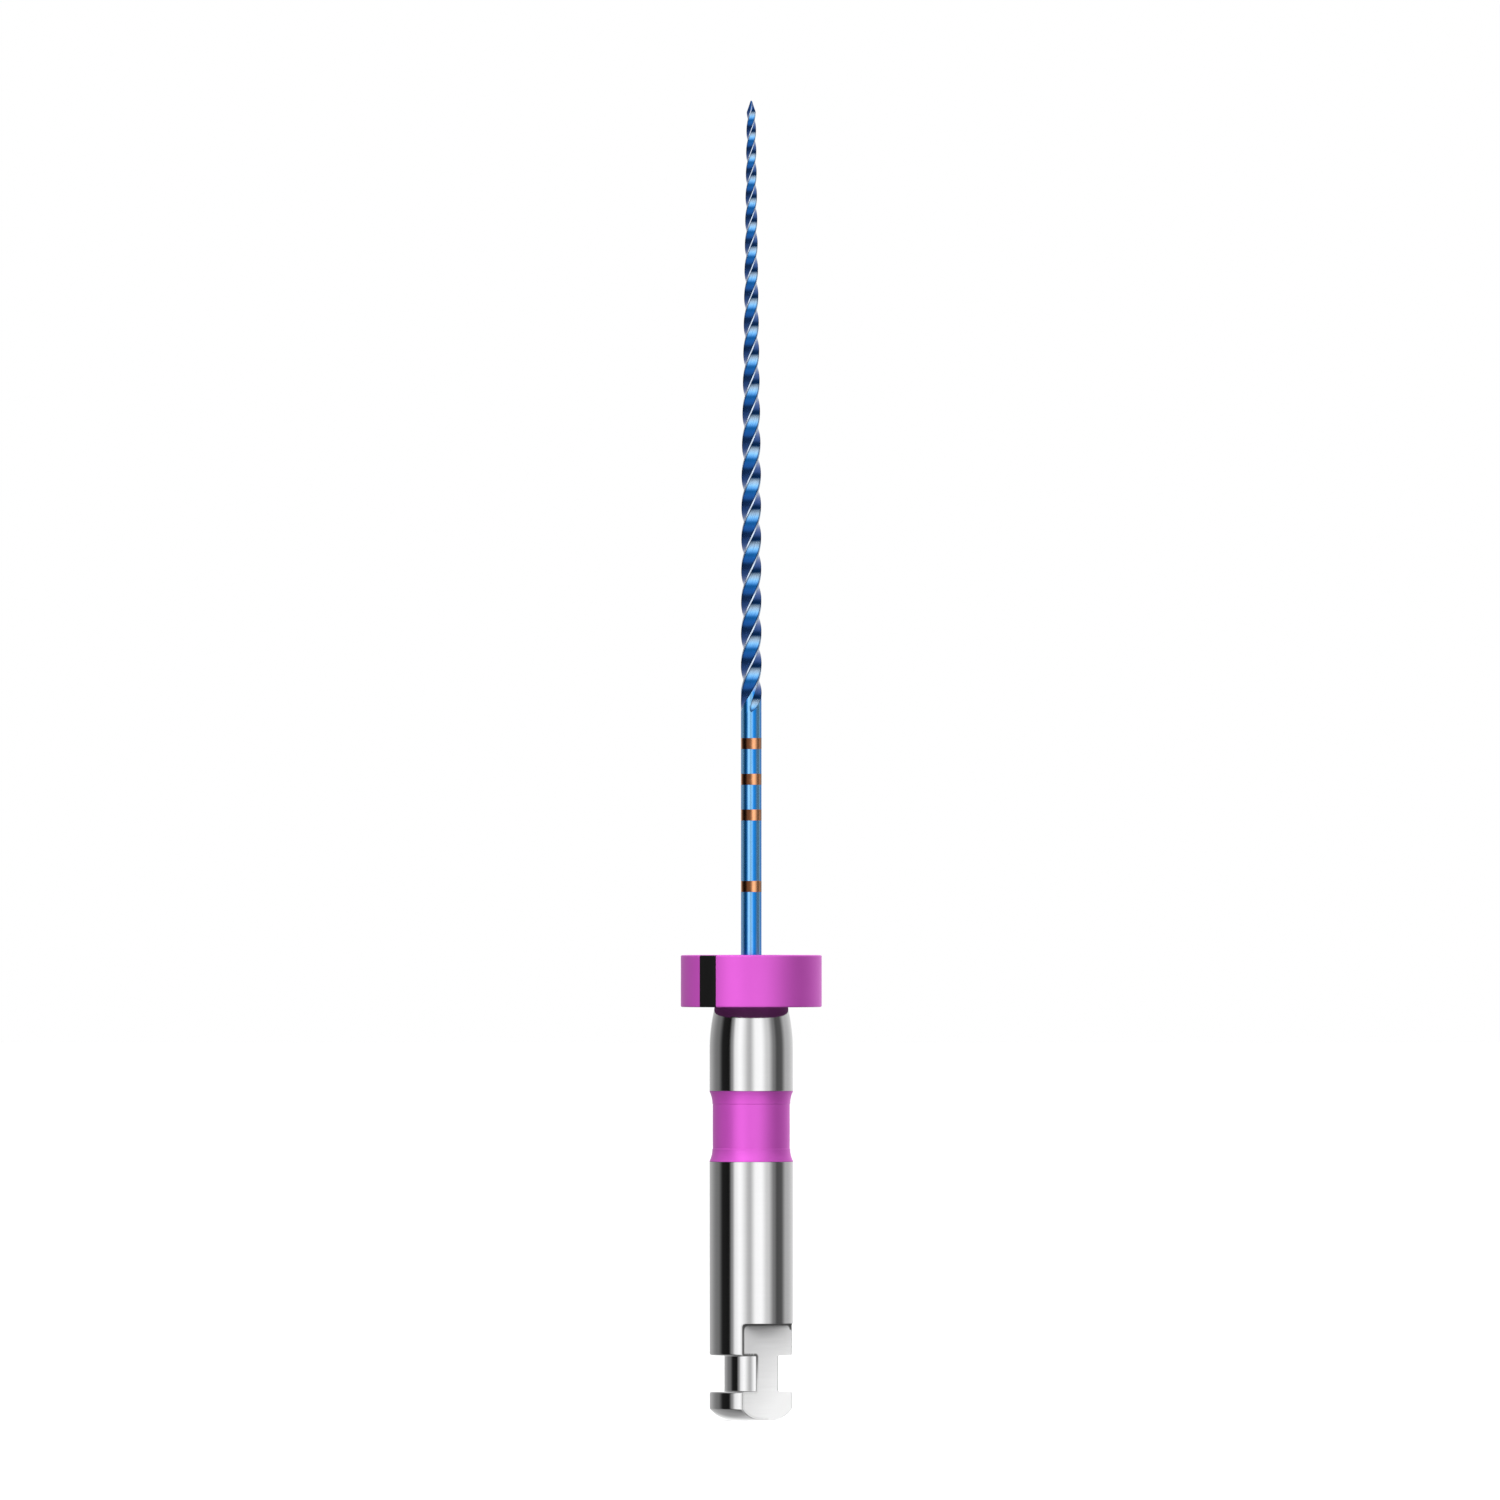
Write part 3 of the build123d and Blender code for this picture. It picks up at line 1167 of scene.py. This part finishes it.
@dataclass
class SizeRing(SubAssembly):
    """The coloured ring in its groove, flared at both ends."""

    waist_radius: float = 1.09
    waist_sag: float = 0.01
    flare_length: float = 0.35
    flare_chords: int = 14
    seat_radius: float = 0.91
    crease: float = 0.012
    row_spacing: float = 0.06
    support: float = 0.006
    columns: int = 256

    def build(self) -> None:
        """Makes the ring in one piece."""
        bottom, top = span("size_band")
        outer, middle = reach("size_band"), (bottom + top) / 2
        flare_top = bottom + self.flare_length
        flare = tangent_arc((self.waist_radius, flare_top), (0, -1), (outer, bottom), self.flare_chords)
        waist = [(self.waist_radius - self.crease, flare_top + self.crease)]
        waist += [(self.waist_radius - self.waist_sag, middle)]
        lower = [(self.seat_radius, bottom), *flare[::-1], *waist]
        upper = [(radius, 2 * middle - height) for radius, height in lower[-2::-1]]
        outline = graded([*lower, *upper, lower[0]], self.row_spacing, self.support)[:-1]
        mesh = grid_mesh("size_ring", revolved(outline, self.columns), closed=True)
        self.keep(mesh, [RING_RESIN], Body.FILE, "purple_ring", ["size_band"])


# ---- Blade ----


@dataclass
class Blade(SubAssembly):
    """The wire, its ground flutes and its tang.

    A geometry tree grinds the four helical flutes into a turned blank. Corners and bearings are in degrees.
    """

    tip_radius: float = 0.1225
    apical_taper: float = 0.0285
    apical_length: float = 10.5
    flute_length: float = 16.05
    flat_to_land: float = 0.757
    past_land: float = 1.03
    wheel_radius: float = 8.0
    tip_cone_length: float = 0.32
    tip_point_radius: float = 0.02
    tang_chamfer: float = 0.06
    mark_depth: float = 0.02
    lead_at_tip: float = 2.20
    lead_at_shaft: float = 3.54
    lead_growth_length: float = 9.0
    flat_distance: float = 0.53
    flat_direction: float = 225.0
    # bearing towards which a flute is painted with its highlight
    flute_highlight_bearing: float = 247.0
    least_corner: float = 10.0
    land_corners: tuple[float, float] = (35.0, 40.0)
    land_margin: float = 1e-4
    shallow_cut: float = 0.05
    tip_wear: tuple[float, float] = (0.45, 0.3)
    dark_edge_span: tuple[float, float] = (0.72, 0.98)
    dark_edge_share: float = 0.85
    quarter_columns: int = 16
    flat_columns: int = 12
    ring_pitch: float = 0.02
    shaft_spacing: float = 0.25
    support: float = 0.01

    def turns(self, distance: float) -> float:
        """Turns of the helix.

        Args:
            distance: Distance from the tip.

        Returns:
            The turns between the tip and that distance.
        """
        growth = (self.lead_at_shaft - self.lead_at_tip) / self.lead_growth_length
        grown = min(distance, self.lead_growth_length)
        growing = math.log(1 + growth * grown / self.lead_at_tip) / growth
        return growing + (distance - grown) / self.lead_at_shaft

    def run_out(self) -> float:
        """Length past the full flutes in which the wheel leaves the wire."""
        return math.sqrt(2 * self.wheel_radius * reach("blade") * (self.past_land - self.flat_to_land))

    def blank(self) -> np.ndarray:
        """The turned wire before its flutes are ground.

        Returns:
            Its points, as rows, columns, 3.
        """
        bottom, tip = span("blade")
        shaft = reach("blade")
        flutes = tip - self.flute_length - self.run_out()
        core = shaft - self.mark_depth
        wire: list[Point] = [(0, bottom), (shaft - self.tang_chamfer, bottom)]
        wire += [(shaft, bottom + self.tang_chamfer)]
        for low, high in sorted(span(node) for node in DepthMarks.nodes):
            wire += [(shaft, low), (core, low), (core, high), (shaft, high)]
        wire = graded([*wire, (shaft, flutes)], self.shaft_spacing, self.support)
        start, radius = flutes, shaft
        for length, end_radius in (
            (self.flute_length, shaft),
            (self.apical_length, self.tip_radius + self.apical_taper * self.apical_length / 2),
            (self.tip_cone_length, self.tip_radius + self.apical_taper * self.tip_cone_length / 2),
            (0.0, self.tip_point_radius),
        ):
            end = tip - length
            steps = math.ceil((end - start) / self.ring_pitch)
            shares = np.arange(1, steps + 1) / steps
            wire += [(radius + (end_radius - radius) * s, start + (end - start) * s) for s in shares]
            start, radius = end, end_radius
        return revolved([*wire, (0, tip)], 4 * self.quarter_columns)

    def wheel(self) -> GeometryTree:
        """The geometry tree that is to grind the flutes.

        Returns:
            The tree, with its inputs only.
        """
        lengths = {
            "Tip Height": span("blade")[1],
            "Tip Radius": self.tip_radius,
            "Apical Length": self.apical_length,
            "Flute Length": self.flute_length,
            "Run Out": self.run_out(),
            "Shaft Radius": reach("blade"),
            "Wheel Radius": self.wheel_radius,
            "Lead At Tip": self.lead_at_tip,
            "Lead At Shaft": self.lead_at_shaft,
            "Lead Growth Length": self.lead_growth_length,
        }
        ratios = {
            "Apical Taper": self.apical_taper,
            "Flat To Land": self.flat_to_land,
            "First Angle": math.radians(self.flat_direction) + TURN * self.turns(self.flat_distance),
            "Flat Share": self.flat_columns / self.quarter_columns,
            "Flute Highlight Bearing": math.radians(self.flute_highlight_bearing),
            "Finish": BLUE.material(),
        }
        inputs = {name: length * MM for name, length in lengths.items()} | ratios
        return GeometryTree("flute_grinding", inputs)

    def ground(self, graph: GeometryTree) -> Wire:
        """Grinds the flutes.

        Args:
            graph: The tree to do it in.

        Returns:
            The geometry, with its marks as attributes.
        """
        size = graph.size
        x, y, z = graph.axes(graph.add("GeometryNodeInputPosition"))
        turned_radius = (x * x + y * y) ** 0.5
        quarters = y.bearing_with(x) / (TURN / 4)
        quarter = quarters.math("ROUND")
        offset = quarters - quarter
        aside = offset.math("ABSOLUTE")

        distance = size("Tip Height") - z
        taper = size("Apical Taper") / 2
        apical = size("Tip Radius") + taper * size("Apical Length")
        share = (distance - size("Apical Length")) / (size("Flute Length") - size("Apical Length"))
        coronal = apical + (size("Shaft Radius") - apical) * share
        outline = (size("Tip Radius") + taper * distance).least(coronal).least(size("Shaft Radius"))
        past = (distance - size("Flute Length")).most(0.0)
        half_side = size("Flat To Land") * outline + past * past / (2 * size("Wheel Radius"))
        corner = (half_side / outline).least(1.0).math("ARCCOSINE").most(math.radians(self.least_corner))

        edge = size("Flat Share") / 2
        across = aside / edge
        on_flat = (across * corner.math("TANGENT")).math("ARCTANGENT")
        on_land = corner + (aside - edge) / (0.5 - edge) * (TURN / 8 - corner)
        is_land = aside.above(edge + self.land_margin)
        angle = offset.math("SIGN") * (on_flat + (on_land - on_flat) * is_land)
        ground_radius = half_side / angle.math("COSINE")

        reached = distance.least(size("Flute Length") + size("Run Out"))
        growth = (size("Lead At Shaft") - size("Lead At Tip")) / size("Lead Growth Length")
        grown = reached.least(size("Lead Growth Length"))
        turns = (1 + growth * grown / size("Lead At Tip")).math("LOGARITHM", math.e) / growth
        turns = turns + (reached - grown) / size("Lead At Shaft")
        facing = quarter * (TURN / 4) + size("First Angle") - turns * TURN
        bearing = facing + angle
        radius = turned_radius.least(ground_radius)
        around = {"X": radius * bearing.math("COSINE"), "Y": radius * bearing.math("SINE"), "Z": z}
        place = graph.add("ShaderNodeCombineXYZ", inputs=around)

        # the phase of each flute's facing from the highlight bearing, which the blue finish paints as
        # highlight and shade
        phase = (facing - size("Flute Highlight Bearing")) / (TURN / 2) + 0.5
        first, full = (math.radians(degrees) for degrees in self.land_corners)
        start, end = self.tip_wear
        shallow = (1 - ground_radius / turned_radius).ease(self.shallow_cut, 0.0) * past.above(0.0)
        marks = {
            "ground": turned_radius.above(ground_radius).most(distance.ease(start * MM, end * MM)),
            "land": is_land * corner.ease(first, full),
            # where each flute is darker: along both its edges, and where the cut runs shallow
            "dark_flute_edge": across.ease(*self.dark_edge_span).most(shallow) * (1 - is_land) * self.dark_edge_share,
            "painted_light_phase": phase - phase.math("FLOOR"),
        }
        shape = graph.source
        for name, value in marks.items():
            settings = {"data_type": "FLOAT", "domain": "FACE"}
            inputs = {"Geometry": shape, "Name": name, "Value": value}
            shape = graph.add("GeometryNodeStoreNamedAttribute", settings, inputs)
        return graph.add("GeometryNodeSetPosition", inputs={"Geometry": shape, "Position": place})

    def build(self) -> None:
        """Turns the blank, grinds it and keeps the result as one piece."""
        wheel = self.wheel()
        mesh = wheel.grow("fluted_blade", grid_mesh("blade_blank", self.blank()), self.ground(wheel))
        self.keep(mesh, [BLUE], Body.FILE, "niti_blue", ["blade"])


@dataclass
class DepthMarks(SubAssembly):
    """The plated bands on the shaft. A geometry tree puts one band at each mark's height."""

    nodes = ("depth_mark_18mm", "depth_mark_19mm", "depth_mark_20mm", "depth_mark_22mm")
    depth: float = 0.02
    edge_break: float = 0.004
    columns: int = 128

    def build(self) -> None:
        """Makes the four bands as one piece."""
        spans = [span(node) for node in self.nodes]
        places = bpy.data.meshes.new("mark_places")
        places.from_pydata([(0, 0, (low + high) / 2 * MM) for low, high in spans], [], [])
        values = {
            "Shaft Radius": reach("blade") * MM,
            "Band Width": (spans[0][1] - spans[0][0]) * MM,
            "Band Depth": self.depth * MM,
            "Edge Break": self.edge_break * MM,
            "Columns": self.columns,
            "Finish": COPPER.material(),
        }
        graph = GeometryTree("plated_bands", values)
        depth = graph.size("Band Depth")
        ring = {"Resolution": graph.size("Columns"), "Radius": graph.size("Shaft Radius") - depth / 2}
        ring = graph.add("GeometryNodeCurvePrimitiveCircle", inputs=ring)
        section = {"Width": depth, "Height": graph.size("Band Width")}
        section = graph.add("GeometryNodeCurvePrimitiveQuadrilateral", inputs=section)
        section = {"Curve": section, "Radius": graph.size("Edge Break")}
        section = graph.add("GeometryNodeFilletCurve", inputs=section)
        band = graph.add("GeometryNodeCurveToMesh", inputs={"Curve": ring, "Profile Curve": section})
        bands = graph.add("GeometryNodeInstanceOnPoints", inputs={"Points": graph.source, "Instance": band})
        mesh = graph.grow("depth_marks", places, bands)
        self.keep(mesh, [COPPER], Body.FILE, "copper_mark", self.nodes)


@dataclass
class TangBond(SubAssembly):
    """The adhesive between the tang and its bore, with a small fillet where it shows."""

    film_sink: float = 0.012
    row_spacing: float = 0.4
    support: float = 0.006
    columns: int = 96

    def build(self) -> None:
        """Makes the adhesive in one piece."""
        bottom, top = span("tang_bond")
        outer, shaft = reach("tang_bond"), reach("blade")
        tang_bottom = span("blade")[0]
        outline = [(0, bottom), (outer, bottom), (outer, top), ((outer + shaft) / 2, top - self.film_sink)]
        outline += [(shaft, top), (shaft, tang_bottom), (0, tang_bottom)]
        outline = graded(outline, self.row_spacing, self.support)
        mesh = grid_mesh("tang_adhesive", revolved(outline, self.columns))
        self.keep(mesh, [ADHESIVE], Body.FILE, "adhesive", ["tang_bond"])


# ---- Stop ----


@dataclass
class Stop(SubAssembly):
    """The rubber disc that slides on the shaft, with the marker let into its rim."""

    bore_radius: float = 0.305
    edge_radius: float = 0.04
    edge_chords: int = 6
    face_crown: float = 0.004
    marker_width: float = 0.58
    marker_depth: float = 0.15
    marker_direction: float = 186.5
    row_spacing: float = 0.12
    row_margin: float = 0.001
    side_columns: int = 8
    marker_columns: int = 24
    rim_columns: int = 320

    def outline(self) -> list[Point]:
        """The disc's outline.

        Returns:
            Its points, from the bore round the rim and back.
        """
        bottom, top = span("stop_disc")
        low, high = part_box("stop_disc")
        rim = (high.y - low.y) / 2 / MM
        corners = [
            (self.bore_radius, bottom),
            (rim, bottom + self.face_crown, self.edge_radius),
            (rim, top - self.face_crown, self.edge_radius),
            (self.bore_radius, top),
        ]
        return graded(rounded(corners, self.edge_chords), self.row_spacing)

    def notch(self, mouth: float, floor: float) -> np.ndarray:
        """The notch in a round of the disc.

        Args:
            mouth: X of its corners at the rim.
            floor: X of its floor.

        Returns:
            Its points, as columns, 2, from the -Y side across the floor to the +Y side.
        """
        half = self.marker_width / 2
        shares = np.linspace(0, 1, self.side_columns + 2)[1:-1]
        side = np.stack([mouth + (floor - mouth) * shares, np.full(self.side_columns, -half)], -1)
        ys = np.linspace(-half, half, self.marker_columns)
        across = np.stack([np.full(self.marker_columns, floor), ys], -1)
        return np.concatenate([side, across, (side * (1, -1))[::-1]])

    def disc_section(self, radius: float, floor: float) -> np.ndarray:
        """A round of the disc, cut by the marker's notch where it reaches it.

        Args:
            radius: Radius of the round.
            floor: Distance of the notch's floor from the axis.

        Returns:
            The section's points, as columns, 2, with the notch on +X.
        """
        half = self.marker_width / 2
        side = math.asin(half / max(radius, floor))
        around = circle(radius, np.linspace(side, TURN - side, self.rim_columns))
        mouth = math.sqrt(max(radius**2 - half**2, 0))
        if mouth < floor:
            columns = self.marker_columns + 2 * self.side_columns
            return np.concatenate([around, circle(radius, np.linspace(-side, side, columns + 2)[1:-1])])
        return np.concatenate([around, self.notch(mouth, floor)])

    def marker_section(self, radius: float, floor: float) -> np.ndarray:
        """A round of the marker: the piece of the disc that fills the notch.

        Args:
            radius: Radius of the round.
            floor: Distance of the notch's floor from the axis.

        Returns:
            The section's points, as columns, 2, with the marker on +X.
        """
        front = math.asin(self.marker_width / 2 / radius)
        face = circle(radius, np.linspace(-front, front, self.marker_columns * 2))
        return np.concatenate([face, self.notch(radius * math.cos(front), floor) * (1, -1)])

    def turned(self, sections: Sequence[np.ndarray], heights: Sequence[float]) -> np.ndarray:
        """Sections at their heights, turned to the marker's direction.

        Args:
            sections: Points with the marker on +X, as columns, 2.
            heights: The height of each section.

        Returns:
            The points, as rows, columns, 3.
        """
        angle = math.radians(self.marker_direction)
        turn = np.array([[math.cos(angle), math.sin(angle)], [-math.sin(angle), math.cos(angle)]])
        return np.array([np.column_stack([s @ turn, np.full(len(s), h)]) for s, h in zip(sections, heights)])

    def build(self) -> None:
        """Makes the disc and its marker."""
        outline = self.outline()
        rim = max(radius for radius, _ in outline)
        floor = rim - self.marker_depth
        sections = [self.disc_section(radius, floor) for radius, _ in outline]
        rows = self.turned(sections, [height for _, height in outline])
        slots = np.zeros(rows.shape[:2], int)
        for row, (start, end) in enumerate(zip(outline, outline[1:])):
            slots[row] = max(start[0], end[0]) < rim - self.edge_radius / 2
        disc = grid_mesh("stop_rubber_disc", rows, closed=True, slots=slots)
        self.keep(disc, [STOP_RUBBER, STOP_FACE], Body.STOP, "purple_silicone", ["stop_disc"])

        side = [point for point in outline if point[0] > rim - self.edge_radius - self.row_margin]
        sections = [self.marker_section(radius, floor) for radius, _ in side]
        middle = np.array([(floor + rim - self.edge_radius) / 2, 0.0])
        cap = np.tile(middle, (len(sections[0]), 1))
        heights = [height for _, height in side]
        rows = self.turned([cap, *sections, cap], [heights[0], *heights, heights[-1]])
        marker = grid_mesh("stop_direction_marker", rows)
        self.keep(marker, [MARKER_RUBBER], Body.STOP, "black_silicone", ["stop_marker"])


# ---- Studio ----


@dataclass(frozen=True)
class SoftBox:
    """A round soft light.

    Attributes:
        name: Its name.
        bearing: Degrees from the camera, to its right.
        out: Distance from the file's axis, in metres.
        height: Height above the table, in metres.
        size: Its diameter, in metres.
        power: Its power, in watts.
    """

    name: str
    bearing: float
    out: float
    height: float
    size: float
    power: float


@dataclass
class Studio:
    """Floor, light tent, lamps and camera.

    Attributes:
        cards: Levels of the tent's wall, by their bearing in degrees from the camera, to its right.
        roof: Elevations where the tent's roof starts, and where it is full, in degrees.
        skirt: The same for its skirt, below the horizon.
    """

    cards: tuple[tuple[float, float], ...] = (
        (-180, 0.75),
        (-150, 0.36),
        (-105, 0.16),
        (-84, 0.012),
        (-64, 0.008),
        (-54, 0.26),
        (-44, 0.85),
        (-32, 1.0),
        (-4, 0.45),
        (14, 0.97),
        (26, 1.0),
        (46, 0.60),
        (66, 0.18),
        (76, 0.07),
        (90, 0.08),
        (112, 0.42),
        (150, 0.56),
        (180, 0.75),
    )
    soft_boxes: tuple[SoftBox, ...] = (
        SoftBox("key_box", -24, 0.38, 0.26, 0.26, 1.0),
        SoftBox("left_box", -95, 0.40, 0.16, 0.26, 1.0),
        SoftBox("right_box", 75, 0.38, 0.16, 0.26, 0.80),
    )
    wall_strength: float = 1.6
    wall_distance: float = 0.6
    wall_top: float = 0.8
    wall_subdivisions: int = 5
    roof: tuple[float, float] = (38.0, 58.0)
    roof_level: float = 0.70
    skirt: tuple[float, float] = (-28.0, -56.0)
    skirt_level: float = 0.26
    skirt_fade: float = 0.5
    camera_azimuth: float = -45.0
    lens: float = 1000.0
    sensor: float = 36.0
    clip: tuple[float, float] = (0.01, 10.0)
    view_height: float = 42.0
    aim_above_middle: float = 0.295
    aim_left: float = 0.034
    floor_radius: float = 1.5
    floor_corners: int = 64

    def bearing(self, right: float) -> float:
        """The bearing, in radians from +X, of a direction that many degrees to the camera's right."""
        return math.radians(self.camera_azimuth - 90 + right)

    def stand(
        self, name: str, mesh: bpy.types.Mesh, finish: Finish, hidden_from: Sequence[str]
    ) -> bpy.types.Object:
        """Puts a piece of the studio up.

        Args:
            name: Its name.
            mesh: Its mesh.
            finish: Its finish.
            hidden_from: The kinds of ray that pass it by.

        Returns:
            The piece.
        """
        piece = put(name, mesh)
        mesh.materials.append(finish.material())
        for ray in hidden_from:
            setattr(piece, "visible_" + ray, False)
        piece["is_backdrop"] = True
        return piece

    def lay_floor(self) -> None:
        """A round table under the latch end: white to the camera, and black to matt surfaces facing it."""
        angles = np.linspace(0, TURN, self.floor_corners + 1)[:-1]
        corners = [(x, y, 0.0) for x, y in circle(self.floor_radius, angles).tolist()]
        mesh = bpy.data.meshes.new("table")
        mesh.from_pydata(corners, [], [list(range(len(corners)))])
        self.stand("table", mesh, PaleFloor("pale_floor"), ("glossy", "transmission", "shadow"))

    def tent_light(self, graph: Graph, towards: Wire) -> Wire:
        """The brightness of the tent.

        Args:
            graph: The tree to make it in.
            towards: The direction, as a unit vector.

        Returns:
            Its grey, where 1 is the brightest card.
        """
        x, y, z = graph.axes(towards)
        cosine, sine = math.cos(self.bearing(0)), math.sin(self.bearing(0))
        ahead, right = x * cosine + y * sine, y * cosine - x * sine
        bearing = right.bearing_with(ahead) / TURN + 0.5
        wall = graph.ramp(bearing, [(degrees / 360 + 0.5, level) for degrees, level in self.cards])
        up, down = (
            z.ease(*(math.sin(math.radians(degrees)) for degrees in edge)) for edge in (self.roof, self.skirt)
        )
        tent = graph.mix(up, wall, (self.roof_level,) * 3)
        return graph.mix(down, tent, graph.mix(self.skirt_fade, wall, (self.skirt_level,) * 3))

    def pitch_tent(self) -> None:
        """A white backdrop all round, lit from the tent, whose wall stands in front of it for the metal."""
        world = bpy.data.worlds.new("light_tent")
        world.use_nodes = True
        bpy.context.scene.world = world
        graph = Graph(world.node_tree)
        tent = self.tent_light(graph, graph.add("ShaderNodeTexCoord", output="Generated"))
        light = graph.add("ShaderNodeBackground", inputs={"Color": tent, "Strength": self.wall_strength})
        backdrop = graph.add("ShaderNodeBackground", inputs={"Color": WHITE, "Strength": 1.0})
        both = graph.add("ShaderNodeMixShader", inputs={0: graph.seen(), 1: light, 2: backdrop})
        graph.add("ShaderNodeOutputWorld", inputs={"Surface": both})

        low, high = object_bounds()
        mesh = bpy.data.meshes.new("tent_wall")
        ball = bmesh.new()
        bmesh.ops.create_icosphere(ball, subdivisions=self.wall_subdivisions, radius=self.wall_distance)
        top = self.wall_distance * self.wall_top
        roof = [face for face in ball.faces if face.calc_center_median().z > top]
        bmesh.ops.delete(ball, geom=roof, context="FACES")
        ball.to_mesh(mesh)
        ball.free()
        finish = TentWall("tent_wall", self.tent_light, self.wall_strength)
        wall = self.stand("tent_wall", mesh, finish, ("camera", "diffuse", "transmission", "shadow"))
        wall.location = (low + high) / 2

    def hang_lamps(self) -> None:
        """The soft boxes, which light matt surfaces but stay out of the metal's reflections."""
        for box in self.soft_boxes:
            lamp = bpy.data.lights.new(box.name, "AREA")
            lamp.shape, lamp.size, lamp.energy = "DISK", box.size, box.power
            holder = put(box.name, lamp)
            holder.visible_glossy = False
            bearing = self.bearing(box.bearing)
            holder.location = (box.out * math.cos(bearing), box.out * math.sin(bearing), box.height)
            holder.rotation_euler = (-holder.location).to_track_quat("-Z", "Y").to_euler()

    def set_camera(self) -> None:
        """A long lens, level with the middle of the file, square to the corner between -X and -Y."""
        low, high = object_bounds()
        azimuth = math.radians(self.camera_azimuth)
        back = Vector((math.sin(azimuth), -math.cos(azimuth), 0))
        right = Vector((math.cos(azimuth), math.sin(azimuth), 0))
        aim = (low + high) / 2 + Vector((0, 0, self.aim_above_middle * MM)) - right * self.aim_left * MM
        data = bpy.data.cameras.new("camera")
        data.lens, data.sensor_width = self.lens, self.sensor
        data.clip_start, data.clip_end = self.clip
        camera = put("camera", data)
        camera.location = aim + back * (self.view_height * MM * self.lens / self.sensor)
        camera.rotation_euler = (-back).to_track_quat("-Z", "Y").to_euler()
        bpy.context.scene.camera = camera

    def build(self) -> None:
        """Sets up everything round the object."""
        for step in (self.lay_floor, self.pitch_tent, self.hang_lamps, self.set_camera):
            step()
        bpy.context.scene.view_settings.view_transform = "Standard"


def main() -> None:
    """Builds the studio and the object."""
    logging.basicConfig(level=logging.INFO, format="%(name)s: %(message)s")
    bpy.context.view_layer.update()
    Studio().build()
    for assembly in (Handle(), SizeRing(), TangBond(), Blade(), DepthMarks(), Stop()):
        assembly.build()
    bpy.context.view_layer.update()


if __name__ == "__main__":
    main()
